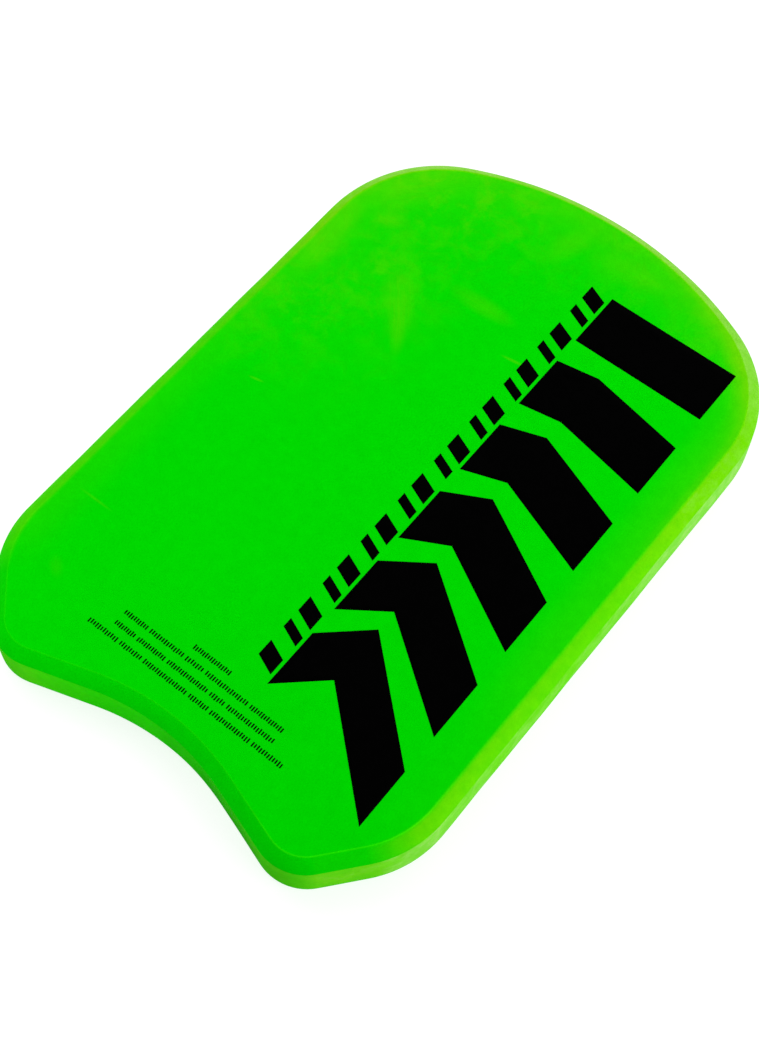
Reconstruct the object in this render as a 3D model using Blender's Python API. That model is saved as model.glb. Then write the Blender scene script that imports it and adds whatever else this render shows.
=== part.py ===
"""Swimming kickboard: a laminated foam board with a graphic printed on its deck.

Metres, +Z up, +Y towards the nose. The origin lies under the board's middle, on its bottom face.
The board is a core slab between two bevelled face sheets; every printed mark is a film of its own.
"""

import math

import bmesh
import bpy

# The whole board
LENGTH = 0.421
WIDTH = 0.280
THICKNESS = 0.034

# Outline at the nose and the sides
NOSE_RADIUS = 0.220
NOSE_CORNER_RADIUS = 0.0795
SIDE_TAPER = 0.0007

# Outline at the tail: two rounded horns with a shallow notch between them
TAIL_CORNER_RADIUS = 0.064
TAIL_SLANT = math.radians(49.5)
HORN_RADIUS = 0.0278
HORN_INSET = 0.0533
NOTCH_DEPTH = 0.0195
NOTCH_FLANK = 0.0369

# Layers of foam: a face sheet is a thin square rim and, above it, the bevel
FACE_SHEET = 0.006
RIM_HEIGHT = 0.0003
BEVEL_WIDTH = 0.0072

# Printed films
FILM = 0.0002
GRAPHIC_WIDTH = 0.083
GRAPHIC_SIDE_MARGIN = 0.030
GRAPHIC_NOSE_MARGIN = 0.0497
GRAPHIC_TAIL_MARGIN = 0.0393
STROKE_SPACE = 0.0128
CHEVRON_COUNT = 5
CHEVRON_PEAK = 0.025
STEEPEST_SLOPE = 0.9

TICK_WIDTH = 0.012
TICK_LONG = 0.010
TICK_SHORT = 0.006
TICK_LEAN = 0.005
TICK_COUNT = 19
TICK_ROW_TAIL_MARGIN = 0.0733

NOTE_HEIGHT = 0.0038
NOTE_PITCH = 0.0073
NOTE_SPACE = 0.0022
NOTE_CENTRE_X = -0.003
NOTE_TAIL_MARGIN = 0.0398
NOTE_ROWS = (
    (0.024,),
    (0.015, 0.022, 0.011, 0.027, 0.021),
    (0.013, 0.018, 0.026, 0.009, 0.030),
    (0.019, 0.014, 0.028, 0.012, 0.025, 0.019),
)

# Clearances
FIT_GAP = 0.0003
TICK_GAP = 0.002

# How far a flat facet may lie inside the arc it stands for
ARC_SAG = 0.00005

for leftover in list(bpy.data.objects):
    bpy.data.objects.remove(leftover)

kickboard = bpy.data.collections.new("kickboard")
bpy.context.scene.collection.children.link(kickboard)


def material(name, colour, roughness):
    """A plain, non-metallic Principled material."""
    made = bpy.data.materials.new(name)
    made.use_nodes = True
    shader = made.node_tree.nodes["Principled BSDF"]
    shader.inputs["Base Color"].default_value = (*colour, 1.0)
    shader.inputs["Roughness"].default_value = roughness
    shader.inputs["Metallic"].default_value = 0.0
    made.diffuse_color = (*colour, 1.0)
    return made


def arc(centre, radius, start, end):
    """Points along an arc, from the angle start to the angle end."""
    widest_step = 2 * math.acos(1 - ARC_SAG / radius)
    steps = max(1, math.ceil(abs(end - start) / widest_step))
    angles = [start + (end - start) * step / steps for step in range(steps + 1)]
    return [
        (centre[0] + radius * math.cos(angle), centre[1] + radius * math.sin(angle))
        for angle in angles
    ]


def nose_points():
    """The nose's wide arc and the corner arc that it runs into, ending on the side."""
    nose = (0.0, LENGTH / 2 - NOSE_RADIUS)
    corner_x = WIDTH / 2 - NOSE_CORNER_RADIUS
    corner_rise = math.sqrt((NOSE_RADIUS - NOSE_CORNER_RADIUS) ** 2 - corner_x ** 2)
    corner = (corner_x, nose[1] + corner_rise)
    meeting = math.atan2(corner_rise, corner_x)
    wide = arc(nose, NOSE_RADIUS, math.pi / 2, meeting)
    tight = arc(corner, NOSE_CORNER_RADIUS, meeting, 0.0)
    return wide + tight[1:]


def tail_points():
    """The tail from the side to the middle of the notch.

    The corner's arc touches the side and the slanted edge, the slanted edge touches the horn, and
    a straight flank touches the horn and the hollow arc of the notch.
    """
    slant_normal = TAIL_SLANT - math.pi / 2
    horn = (WIDTH / 2 - HORN_INSET, HORN_RADIUS - LENGTH / 2)

    corner_x = WIDTH / 2 - SIDE_TAPER - TAIL_CORNER_RADIUS
    corner_rise = TAIL_CORNER_RADIUS - HORN_RADIUS + (corner_x - horn[0]) * math.cos(slant_normal)
    corner = (corner_x, horn[1] - corner_rise / math.sin(slant_normal))

    chord = horn[0] ** 2 + NOTCH_DEPTH ** 2 - NOTCH_FLANK ** 2
    notch_radius = chord / (2 * NOTCH_DEPTH) - HORN_RADIUS
    notch = (0.0, NOTCH_DEPTH - LENGTH / 2 - notch_radius)
    bearing = math.atan2(notch[1] - horn[1], notch[0] - horn[0])
    apart = math.dist(horn, notch)
    flank_normal = bearing + math.acos((HORN_RADIUS + notch_radius) / apart)

    points = arc(corner, TAIL_CORNER_RADIUS, 0.0, slant_normal)
    points += arc(horn, HORN_RADIUS, slant_normal, flank_normal)
    points += arc(notch, notch_radius, flank_normal + math.pi, math.pi / 2)
    return points


def board_outline():
    """The whole outline: the +X half, then its mirror image back to the nose."""
    half = nose_points() + tail_points()
    mirrored = [(-x, y) for x, y in reversed(half[1:-1])]
    return half + mirrored


def place(name, data):
    """An object of the kickboard made from a mesh or a curve."""
    made = bpy.data.objects.new(name, data)
    kickboard.objects.link(made)
    return made


def plate(name, points, floor, height, finish):
    """A flat solid with the given outline, from floor upwards."""
    curve = bpy.data.curves.new(name, "CURVE")
    curve.dimensions = "2D"
    curve.fill_mode = "BOTH"
    curve.extrude = height / 2
    spline = curve.splines.new("POLY")
    spline.points.add(len(points) - 1)
    for point, (x, y) in zip(spline.points, points):
        point.co = (x, y, 0.0, 1.0)
    spline.use_cyclic_u = True
    curve.materials.append(finish)
    made = place(name, curve)
    made.location.z = floor + height / 2
    return made


def face_sheet_mesh(finish):
    """A face sheet with its joint face at z = 0: a thin square rim, then the bevel up to its face."""
    shape = bmesh.new()
    rim = [shape.verts.new((x, y, 0.0)) for x, y in board_outline()]
    joint_face = shape.faces.new(rim)
    raised = bmesh.ops.extrude_face_region(shape, geom=[joint_face])["geom"]
    top = [item for item in raised if isinstance(item, bmesh.types.BMFace)]
    bmesh.ops.translate(shape, verts=top[0].verts, vec=(0.0, 0.0, RIM_HEIGHT))
    bmesh.ops.recalc_face_normals(shape, faces=shape.faces)
    bmesh.ops.inset_region(
        shape,
        faces=top,
        thickness=BEVEL_WIDTH,
        depth=FACE_SHEET - RIM_HEIGHT,
        use_boundary=True,
        use_even_offset=True,
    )
    mesh = bpy.data.meshes.new("face_sheet")
    shape.to_mesh(mesh)
    shape.free()
    mesh.materials.append(finish)
    return mesh


def make_foam(foam, core_foam):
    """The deck sheet, the core slab, and the bottom sheet, which is the deck sheet turned over."""
    sheet = face_sheet_mesh(foam)
    deck = place("deck_sheet", sheet)
    deck.location.z = THICKNESS - FACE_SHEET
    bottom = place("bottom_sheet", sheet)
    bottom.location.z = FACE_SHEET
    bottom.rotation_euler.y = math.pi
    core_height = THICKNESS - 2 * FACE_SHEET - 2 * FIT_GAP
    plate("core_slab", board_outline(), FACE_SHEET + FIT_GAP, core_height, core_foam)


def print_film(name, points, ink):
    """One printed mark, lying on the deck."""
    plate(name, points, THICKNESS + FIT_GAP, FILM, ink)


def graphic_left():
    """The X where the bold graphic starts."""
    return WIDTH / 2 - GRAPHIC_SIDE_MARGIN - GRAPHIC_WIDTH


def graphic_top():
    """The Y where the graphic starts, near the nose."""
    return LENGTH / 2 - GRAPHIC_NOSE_MARGIN


def make_bold_graphic(ink):
    """A straight bar, then chevrons that point to the nose and grow steeper towards the tail."""
    left = graphic_left()
    right = left + GRAPHIC_WIDTH
    peak = left + CHEVRON_PEAK
    top = graphic_top()
    last_drop = STEEPEST_SLOPE * (right - peak)
    span = top - (GRAPHIC_TAIL_MARGIN - LENGTH / 2)
    pitch = (span + STROKE_SPACE - last_drop) / (CHEVRON_COUNT + 1)
    stroke = pitch - STROKE_SPACE
    bar = [(left, top), (right, top), (right, top - stroke), (left, top - stroke)]
    print_film("print_bar", bar, ink)
    for number in range(1, CHEVRON_COUNT + 1):
        slope = STEEPEST_SLOPE * number / CHEVRON_COUNT
        peak_y = top - pitch * number
        upper = [
            (left, peak_y - slope * CHEVRON_PEAK),
            (peak, peak_y),
            (right, peak_y - slope * (right - peak)),
        ]
        lower = [(x, y - stroke) for x, y in reversed(upper)]
        print_film(f"print_chevron_{number}", upper + lower, ink)


def make_ticks(ink):
    """A row of small leaning ticks beside the graphic, long and short in turn."""
    right = graphic_left() - TICK_GAP
    left = right - TICK_WIDTH
    row_end = TICK_ROW_TAIL_MARGIN - LENGTH / 2
    pitch = (graphic_top() - row_end) / TICK_COUNT
    for number in range(TICK_COUNT):
        length = TICK_SHORT if number % 2 else TICK_LONG
        top = graphic_top() - pitch * number
        tick = [
            (left, top),
            (right, top - TICK_LEAN),
            (right, top - TICK_LEAN - length),
            (left, top - length),
        ]
        print_film(f"print_tick_{number + 1:02d}", tick, ink)


def make_notes(ink):
    """Centred rows of plain bars near the tail, the lowest row nearest the notch."""
    for row, widths in enumerate(NOTE_ROWS):
        rows_below = len(NOTE_ROWS) - 1 - row
        middle = NOTE_TAIL_MARGIN - LENGTH / 2 + NOTE_PITCH * rows_below
        low = middle - NOTE_HEIGHT / 2
        high = middle + NOTE_HEIGHT / 2
        row_width = sum(widths) + NOTE_SPACE * (len(widths) - 1)
        left = NOTE_CENTRE_X - row_width / 2
        for number, width in enumerate(widths):
            right = left + width
            bar = [(left, high), (right, high), (right, low), (left, low)]
            print_film(f"print_note_{row + 1}_{number + 1}", bar, ink)
            left = right + NOTE_SPACE


def main():
    """Build the foam board, then the print on its deck."""
    foam = material("green_foam", (0.001, 0.68, 0.001), 0.62)
    core_foam = material("core_green_foam", (0.04, 0.70, 0.004), 0.66)
    ink = material("black_ink", (0.004, 0.004, 0.004), 0.55)
    make_foam(foam, core_foam)
    make_bold_graphic(ink)
    make_ticks(ink)
    make_notes(ink)


main()
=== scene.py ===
"""Looks of the foam kickboard: its foam layers, its print, and the stage it lies on.

Metres, +Z up, +Y towards the nose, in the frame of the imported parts.
"""

import math

import bpy
import numpy as np
from mathutils import Matrix, Vector


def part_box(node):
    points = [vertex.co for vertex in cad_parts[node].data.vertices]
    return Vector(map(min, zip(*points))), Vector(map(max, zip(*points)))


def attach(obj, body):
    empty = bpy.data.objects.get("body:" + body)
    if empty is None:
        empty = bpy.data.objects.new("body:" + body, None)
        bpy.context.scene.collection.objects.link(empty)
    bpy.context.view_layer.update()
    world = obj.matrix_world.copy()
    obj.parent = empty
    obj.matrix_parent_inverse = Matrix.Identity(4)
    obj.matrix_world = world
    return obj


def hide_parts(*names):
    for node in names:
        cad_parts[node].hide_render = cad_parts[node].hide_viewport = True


bl_info = {
    "name": "Foam kickboard",
    "version": (1, 0, 0),
    "blender": (4, 5, 0),
    "location": "3D View > Sidebar > Kickboard",
    "description": "A swimming kickboard of green foam with a bold print, and the stage it lies on",
    "category": "Add Mesh",
}

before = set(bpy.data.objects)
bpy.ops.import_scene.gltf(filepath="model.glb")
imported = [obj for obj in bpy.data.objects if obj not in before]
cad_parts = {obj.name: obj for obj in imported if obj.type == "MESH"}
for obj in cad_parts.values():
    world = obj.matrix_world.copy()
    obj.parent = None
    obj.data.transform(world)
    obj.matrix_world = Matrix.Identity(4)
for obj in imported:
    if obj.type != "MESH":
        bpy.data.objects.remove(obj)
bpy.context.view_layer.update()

DECK_LOW, DECK_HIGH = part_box("deck_sheet")
CORE_LOW, CORE_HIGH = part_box("core_slab")
BOTTOM_LOW, BOTTOM_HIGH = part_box("bottom_sheet")

WIDTH = DECK_HIGH.x - DECK_LOW.x
NOSE_Y = DECK_HIGH.y
TAIL_Y = DECK_LOW.y

# The outline's arcs, as the foam is cut
NOSE_RADIUS = 0.220
NOSE_CORNER_RADIUS = 0.0795
SIDE_TAPER = 0.0007
TAIL_CORNER_RADIUS = 0.064
TAIL_SLANT = math.radians(49.5)
HORN_RADIUS = 0.0278
HORN_INSET = 0.0533
NOTCH_DEPTH = 0.0195
NOTCH_FLANK = 0.0369

RIM_HEIGHT = 0.0003
BEVEL_WIDTH = 0.0072

# The kink of a chevron lies this far inside its left edge
CHEVRON_PEAK = 0.025
CHEVRON_SLOPE_STEP = 0.18
CHEVRON_COUNT = 5
TICK_COUNT = 19
TICK_LEAN = 0.005
NOTE_BARS = (1, 5, 5, 6)


# Sizes and colours


def length_property(name, description, default):
    """A size in metres."""
    return bpy.props.FloatProperty(
        name=name,
        description=description,
        default=default,
        min=0.0,
        precision=5,
        subtype="DISTANCE",
        unit="LENGTH",
    )


def colour_property(name, description, default):
    """A linear colour without alpha."""
    return bpy.props.FloatVectorProperty(
        name=name,
        description=description,
        default=default,
        size=3,
        min=0.0,
        max=1.0,
        subtype="COLOR",
    )


def angle_property(name, description, degrees):
    """An angle whose default is given in degrees."""
    return bpy.props.FloatProperty(
        name=name,
        description=description,
        default=math.radians(degrees),
        subtype="ANGLE",
        unit="ROTATION",
    )


def amount_property(name, description, default, least=0.0):
    """A number without a unit."""
    return bpy.props.FloatProperty(
        name=name, description=description, default=default, min=least
    )


class KickboardSizes(bpy.types.PropertyGroup):
    """Sizes of the foam's edges and of the print."""

    rim_round: length_property(
        "Rim round", "Radius of the corner between the side wall and the bevel", 0.0005
    )
    crease_round_tail: length_property(
        "Tail crease round", "Radius between the bevel and the deck at the tail", 0.0008
    )
    crease_round_side: length_property(
        "Side crease round", "Radius between the bevel and the deck at the sides", 0.0018
    )
    bevel_bulge: length_property(
        "Bevel bulge", "How far the middle of the bevel stands proud", 0.00055
    )
    joint_gap: length_property("Joint gap", "Height of the glue line between two layers", 0.00012)
    ripple: length_property("Ripple", "How far the cut edge wanders in and out", 0.00012)
    swell: length_property("Swell", "Height of the deck's slow unevenness", 0.00015)
    point_spacing: length_property(
        "Point spacing", "Distance between points along the outline", 0.0026
    )
    film_rise: length_property("Ink rise", "How far the ink stands above the foam", 0.00006)
    film_sink: length_property("Ink sink", "How far the ink soaks into the foam", 0.00004)
    dash_width: length_property("Dash width", "Width of one dash of the small print", 0.00078)
    dash_pitch: length_property("Dash pitch", "Distance between dashes of the small print", 0.0016)


class KickboardColours(bpy.types.PropertyGroup):
    """Colours of the foam, the ink and the stage, among them colours that stand for painted light
    and sheen on the foam's edges.
    """

    # The face foam's own green, where no light or sheen is painted
    deck_green: colour_property(
        "Deck green", "Fresh foam of the face sheets", (0.0002, 0.600, 0.0002)
    )
    # Painted light where the light from +X falls on the edges, and the tint of the scuffs
    deck_scuff_and_lit_lime: colour_property(
        "Deck lime", "Face foam that has begun to yellow", (0.140, 0.590, 0.0012)
    )
    # Painted sheen: the pale green of the bevel round the nose and on its +X side
    deck_sheen_pale: colour_property(
        "Deck pale", "Face foam that has yellowed most", (0.244, 0.590, 0.0685)
    )
    # The core's own green, where no light or sheen is painted
    core_green: colour_property(
        "Core green", "Cut edge of the core, kept from the light", (0.0060, 0.545, 0.0003)
    )
    # Painted light: the core's wall where the light falls on it
    core_lit_lime: colour_property("Core lime", "The same edge, yellowed", (0.112, 0.560, 0.0060))
    # Painted sheen: the core's wall round the nose and along the sides
    core_sheen_pale: colour_property("Core pale", "The same edge, yellowed most", (0.235, 0.590, 0.085))
    ink_black: colour_property("Ink black", "The print", (0.0002, 0.0002, 0.0002))
    floor_white: colour_property("Floor white", "The studio floor", (0.30, 0.30, 0.30))


class KickboardStage(bpy.types.PropertyGroup):
    """Camera and light."""

    aim: bpy.props.FloatVectorProperty(
        name="Aim",
        description="The point that the camera looks at",
        default=(0.0102, -0.0293, 0.0170),
        size=3,
        precision=4,
        subtype="TRANSLATION",
        unit="LENGTH",
    )
    distance: length_property("Distance", "From the camera to the aim", 0.9776)
    azimuth: angle_property(
        "Azimuth", "Turn of the camera round the board, from behind the tail", 37.36
    )
    elevation: angle_property("Elevation", "Height of the camera above the horizon", 61.6)
    roll: angle_property("Roll", "Turn of the camera about its own axis", 1.217)
    focal_length: amount_property(
        "Focal length", "Lens of the camera, in millimetres", 62.19, least=1.0
    )
    sky_strength: amount_property("Sky strength", "Brightness of the even light all round", 0.20)
    backdrop_strength: amount_property(
        "Backdrop strength", "Brightness of the backdrop as the camera sees it", 0.95
    )
    floor_glow: amount_property(
        "Floor glow", "Light that the floor gives by itself, as a lit table does", 0.80
    )
    softbox_strength: amount_property(
        "Softbox strength", "Factor on the light of every softbox", 1.0
    )


WHITE = (1.0, 1.0, 1.0, 1.0)

# How far the floor reaches each way, and how far it lies under the board, in metres
FLOOR_REACH = 12.0
FLOOR_GAP = 0.0003

# Softboxes: name, bearing from +X and height in degrees, distance and side in metres, and the light
# that one throws on a surface that faces it, as a share of a white surface's full brightness
SOFTBOXES = (
    ("Right softbox", 0.0, 22.0, 0.90, 0.60, 0.713),
    ("Nose softbox", 95.0, 22.0, 0.90, 0.60, 0.250),
    ("Left nose softbox", 140.0, 22.0, 0.90, 0.60, 0.126),
    ("High nose softbox", 60.0, 60.0, 0.90, 0.60, 0.205),
    ("High left softbox", 180.0, 60.0, 0.90, 0.60, 0.489),
    ("Tail softbox", 250.0, 14.0, 0.55, 0.30, 0.115),
    ("Left tail softbox", 225.0, 35.0, 0.50, 0.30, 0.080),
)


# The outline


# Two ends of arcs nearer than this are one point of the outline, in metres
TOUCHING = 1e-6


def arc_run(centre, radius, start, end, side, spacing):
    """Points and outward normals on an arc, without its last point.

    A point is centre + radius (cos a, sin a) with a running evenly from start to end. Its outward
    normal is side (cos a, sin a), with side 1 on a bulging arc and -1 on a hollow one.
    """
    steps = max(6, math.ceil(radius * abs(end - start) / spacing))
    angle = np.linspace(start, end, steps + 1)[:-1]
    spoke = np.stack([np.cos(angle), np.sin(angle)], axis=1)
    return np.asarray(centre) + radius * spoke, side * spoke


def line_run(start, end, spacing):
    """Points and outward normals on a straight edge, without its last point.

    A point is start + t (end - start) with t running evenly from 0 to 1. The outline runs
    clockwise seen from above, so the outward normal is the direction turned left by 90 degrees.
    """
    start, end = np.asarray(start), np.asarray(end)
    span = float(np.hypot(*(end - start)))
    steps = max(2, math.ceil(span / spacing))
    t = np.arange(steps)[:, None] / steps
    along = (end - start) / span
    normal = np.array([-along[1], along[0]])
    return start + t * (end - start), np.repeat(normal[None, :], steps, axis=0)


def arc_end(centre, radius, angle):
    """The point of a circle at an angle."""
    return (centre[0] + radius * math.cos(angle), centre[1] + radius * math.sin(angle))


def half_outline(spacing):
    """The +X half of the outline, from the nose's middle to the notch's middle.

    Nose arc, nose corner, side, tail corner, slanted edge, horn, flank and hollow notch meet
    tangent to tangent. A straight edge joins two arcs that don't touch.
    """
    nose = (0.0, NOSE_Y - NOSE_RADIUS)
    corner_x = WIDTH / 2 - NOSE_CORNER_RADIUS
    corner_rise = math.sqrt((NOSE_RADIUS - NOSE_CORNER_RADIUS) ** 2 - corner_x**2)
    nose_corner = (corner_x, nose[1] + corner_rise)
    meeting = math.atan2(corner_rise, corner_x)

    slant_normal = TAIL_SLANT - math.pi / 2
    horn = (WIDTH / 2 - HORN_INSET, HORN_RADIUS + TAIL_Y)
    tail_x = WIDTH / 2 - SIDE_TAPER - TAIL_CORNER_RADIUS
    tail_rise = TAIL_CORNER_RADIUS - HORN_RADIUS + (tail_x - horn[0]) * math.cos(slant_normal)
    tail_corner = (tail_x, horn[1] - tail_rise / math.sin(slant_normal))

    chord = horn[0] ** 2 + NOTCH_DEPTH**2 - NOTCH_FLANK**2
    notch_radius = chord / (2 * NOTCH_DEPTH) - HORN_RADIUS
    notch = (0.0, NOTCH_DEPTH + TAIL_Y - notch_radius)
    bearing = math.atan2(notch[1] - horn[1], notch[0] - horn[0])
    apart = math.dist(horn, notch)
    flank_normal = bearing + math.acos((HORN_RADIUS + notch_radius) / apart)

    arcs = [
        (nose, NOSE_RADIUS, math.pi / 2, meeting, 1),
        (nose_corner, NOSE_CORNER_RADIUS, meeting, 0.0, 1),
        (tail_corner, TAIL_CORNER_RADIUS, 0.0, slant_normal, 1),
        (horn, HORN_RADIUS, slant_normal, flank_normal, 1),
        (notch, notch_radius, flank_normal + math.pi, math.pi / 2, -1),
    ]
    runs = []
    for arc, following in zip(arcs, arcs[1:]):
        end = arc_end(arc[0], arc[1], arc[3])
        start = arc_end(following[0], following[1], following[2])
        runs.append(arc_run(*arc, spacing))
        if math.dist(end, start) > TOUCHING:
            runs.append(line_run(end, start, spacing))
    runs.append(arc_run(*arcs[-1], spacing))
    runs.append((np.array([[0.0, TAIL_Y + NOTCH_DEPTH]]), np.array([[0.0, -1.0]])))
    points = np.concatenate([run[0] for run in runs])
    normals = np.concatenate([run[1] for run in runs])
    return points, normals


def board_outline(spacing):
    """The closed outline, clockwise from the nose: the +X half, then its mirror image back."""
    points, normals = half_outline(spacing)
    flip = np.array([-1.0, 1.0])
    points = np.concatenate([points, points[-2:0:-1] * flip])
    normals = np.concatenate([normals, normals[-2:0:-1] * flip])
    return points, normals


def smooth_step(low, high, value):
    """0 below low, 1 above high, and the cubic 3t^2 - 2t^3 between them."""
    t = np.clip((value - low) / (high - low), 0.0, 1.0)
    return t * t * (3.0 - 2.0 * t)


def deck_swell(x, y, height):
    """The deck's slow unevenness: the product of two long waves and a longer third one."""
    crossed = np.sin(x / 0.029 + 0.7) * np.cos(y / 0.041 - 0.4)
    return height * (0.6 * crossed + 0.4 * np.sin(x / 0.052 - y / 0.063))


def edge_ripple(points, height):
    """How far the cut wanders outwards along the outline: two waves along the board."""
    x, y = points[:, 0], points[:, 1]
    return height * (0.6 * np.sin(y / 0.013 + x / 0.021) + 0.4 * np.sin(y / 0.0061 - x / 0.0094))


def bevel_painted_light(points, normals):
    """Painted light and sheen on the bevel: how lime and pale it is at each place of the outline,
    as the share of red to green.

    A little on the long sides, more on the one that faces +X, most round the nose, above all at its
    middle and its -X corner, and none on an edge that faces the tail.
    """
    nx, ny = normals[:, 0], normals[:, 1]
    x, y = points[:, 0], points[:, 1]
    sides = 0.1175 + 0.0325 * nx + 0.02 * np.maximum(nx, 0.0) * smooth_step(0.06, 0.13, -y)
    nose = 0.10 * smooth_step(-0.01, 0.10, y) + 0.10 * smooth_step(0.13, 0.19, y)
    middle = 0.09 * np.exp(-((x / 0.032) ** 2)) * smooth_step(0.13, 0.19, y)
    corner = 0.10 * np.exp(-(((x + 0.122) ** 2 + (y - 0.165) ** 2) / 0.042**2))
    return (sides + nose + middle + corner) * smooth_step(-0.70, -0.10, ny)


def deck_shoulder(points, across):
    """How far the bevel's painted light and sheen spread over the deck, as a share of the bevel's
    own.

    across is the distance from the outline. There is a faint wide band all round that ends before
    the +X horn, a narrow one along the +X side ahead of the middle, and a patch at the nose's +X
    corner.
    """
    x, y = points[:, 0], points[:, 1]
    band = 0.09 * (1.0 - 0.85 * smooth_step(0.03, 0.11, -y) * smooth_step(0.0, 0.05, x))
    crest = 0.14 * smooth_step(0.0, 0.08, x) * smooth_step(0.0, 0.09, y)
    corner = 0.38 * np.exp(-(((x - 0.115) ** 2 + (y - 0.170) ** 2) / 0.045**2))
    return (
        band * (1.0 - smooth_step(0.009, 0.034, across))
        + crest * (1.0 - smooth_step(0.0084, 0.0125, across))
        + corner * (1.0 - smooth_step(0.0095, 0.0200, across))
    )


def core_painted_light(points, normals):
    """Painted light and sheen on the core's cut edge, as the share of red to green at each place.

    Least in the notch, a little on the tips of the horns, and most round the nose and along the
    sides, where it dips behind the middle.
    """
    nx, y = np.abs(normals[:, 0]), points[:, 1]
    up_the_notch = np.clip((y - TAIL_Y) / NOTCH_DEPTH, 0.0, 1.0)
    hollow = 0.014 + 0.08 * (1.0 - up_the_notch) ** 2
    outside = smooth_step(0.080, 0.092, np.abs(points[:, 0]))
    sides = 0.10 + 0.28 * nx**4 * (1.0 - 0.60 * np.exp(-(((y + 0.05) / 0.095) ** 2)))
    ahead = smooth_step(-0.2, 0.2, normals[:, 1])
    return np.maximum(hollow + (sides - hollow) * outside, ahead * 0.34)


def core_painted_shading(points, normals, height):
    """Painted light and shade on the core's cut edge, as a factor on its colour. height runs from 0
    to 1.

    Painted light on the notch's -X flank and a little past the +X horn, and painted shade on the
    notch's +X flank. An edge that faces the tail has a painted shadow at its foot, most of all on
    that +X flank.
    """
    x, tailward = points[:, 0], -normals[:, 1]
    facing = smooth_step(0.55, 0.90, tailward)
    left_flank = smooth_step(0.006, -0.010, x) * smooth_step(-0.095, -0.070, x)
    right_flank = smooth_step(0.012, 0.036, x) * smooth_step(0.088, 0.068, x)
    past_horn = smooth_step(0.090, 0.108, x) * smooth_step(0.20, 0.55, tailward)
    tone = 1.0 + facing * (0.18 * left_flank - 0.17 * right_flank) + 0.06 * past_horn
    # Painted contact shadow, darker towards the floor
    foot = facing * (0.12 + 0.30 * right_flank)
    return tone * (1.0 + foot * (height - 0.6))


def crease_painted_highlight(points):
    """Painted highlight along the crease round the deck: at the tail, most of all on the +X horn.
    """
    x, y = points[:, 0], points[:, 1]
    tail = smooth_step(0.118, 0.150, -y)
    return tail * (0.40 + 0.60 * smooth_step(0.045, 0.085, x))


# Surfaces


def rounded_corner(corner, before, after, radius, steps):
    """Points of an arc that rounds a corner of the profile, for every place of the outline.

    corner is (inset, height), before and after are unit directions of travel along the profile,
    and radius is one number per place. The arc leaves the first edge radius tan(turn / 2) short
    of the corner; a point is centre - radius times the outer normal turned by a share of the turn.
    """
    before, after = np.asarray(before, float), np.asarray(after, float)
    cross = before[0] * after[1] - before[1] * after[0]
    turn = math.atan2(cross, float(before @ after))
    tangent = radius * math.tan(abs(turn) / 2)
    left = np.array([-before[1], before[0]]) * math.copysign(1.0, turn)
    centre = np.asarray(corner) - tangent[:, None] * before + radius[:, None] * left
    share = np.linspace(0.0, 1.0, steps + 1) * turn
    spoke_u = -left[0] * np.cos(share) + left[1] * np.sin(share)
    spoke_v = -left[0] * np.sin(share) - left[1] * np.cos(share)
    inset = centre[:, :1] + radius[:, None] * spoke_u
    height = centre[:, 1:] + radius[:, None] * spoke_v
    return inset, height


def grid_faces(rings, columns):
    """Quads between neighbouring rings of a grid whose columns close on themselves."""
    ring = np.arange(rings - 1)[:, None] * columns
    here = np.arange(columns)[None, :]
    after = (here + 1) % columns
    next_ring = ring + columns
    quads = [ring + here, ring + after, next_ring + after, next_ring + here]
    return np.stack(quads, axis=-1).reshape(-1, 4)


def lathe_mesh(name, x, y, z, marks):
    """A closed mesh from a ring-by-ring grid, shut by a fan at each end.

    x, y and z are rings by columns. The first and last rings are joined to one point each, the
    mean of the ring. marks is a dict of name: grid of values kept on the points.
    """
    rings, columns = x.shape
    grid = np.stack([x, y, z], axis=-1).reshape(-1, 3)
    poles = np.stack([grid[:columns].mean(axis=0), grid[-columns:].mean(axis=0)])
    points = np.concatenate([grid, poles])
    quads = grid_faces(rings, columns)
    here = np.arange(columns)
    after = (here + 1) % columns
    first, last = len(grid), len(grid) + 1
    low_fan = np.stack([after, here, np.full(columns, first)], axis=1)
    shift = (rings - 1) * columns
    high_fan = np.stack([here + shift, after + shift, np.full(columns, last)], axis=1)
    mesh = mesh_from(name, points, quads, np.concatenate([low_fan, high_fan]))
    for mark, values in marks.items():
        flat = np.concatenate([values.ravel(), [values[0].mean(), values[-1].mean()]])
        attribute = mesh.attributes.new(mark, "FLOAT", "POINT")
        attribute.data.foreach_set("value", flat.astype(np.float32))
    return mesh


def mesh_from(name, points, quads, triangles=None):
    """A mesh from arrays of points, quads and triangles, with smooth shading."""
    if triangles is None:
        triangles = np.zeros((0, 3), int)
    mesh = bpy.data.meshes.new(name)
    corners = np.concatenate([quads.ravel(), triangles.ravel()])
    sizes = np.concatenate([np.full(len(quads), 4), np.full(len(triangles), 3)])
    starts = np.concatenate([[0], np.cumsum(sizes)[:-1]])
    mesh.vertices.add(len(points))
    mesh.vertices.foreach_set("co", np.asarray(points, np.float32).ravel())
    mesh.loops.add(len(corners))
    mesh.loops.foreach_set("vertex_index", corners.astype(np.int32))
    mesh.polygons.add(len(sizes))
    mesh.polygons.foreach_set("loop_start", starts.astype(np.int32))
    mesh.polygons.foreach_set("use_smooth", np.ones(len(sizes), bool))
    mesh.update(calc_edges=True)
    if mesh.validate():
        raise ValueError(f"{name} has faces that Blender had to repair")
    return mesh


def place_piece(name, mesh, material, replaced):
    """An object at the origin that rides on the board and stands for CAD nodes."""
    piece = bpy.data.objects.new(name, mesh)
    bpy.context.scene.collection.objects.link(piece)
    mesh.materials.append(material)
    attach(piece, "root")
    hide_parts(*replaced)
    return piece


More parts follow.
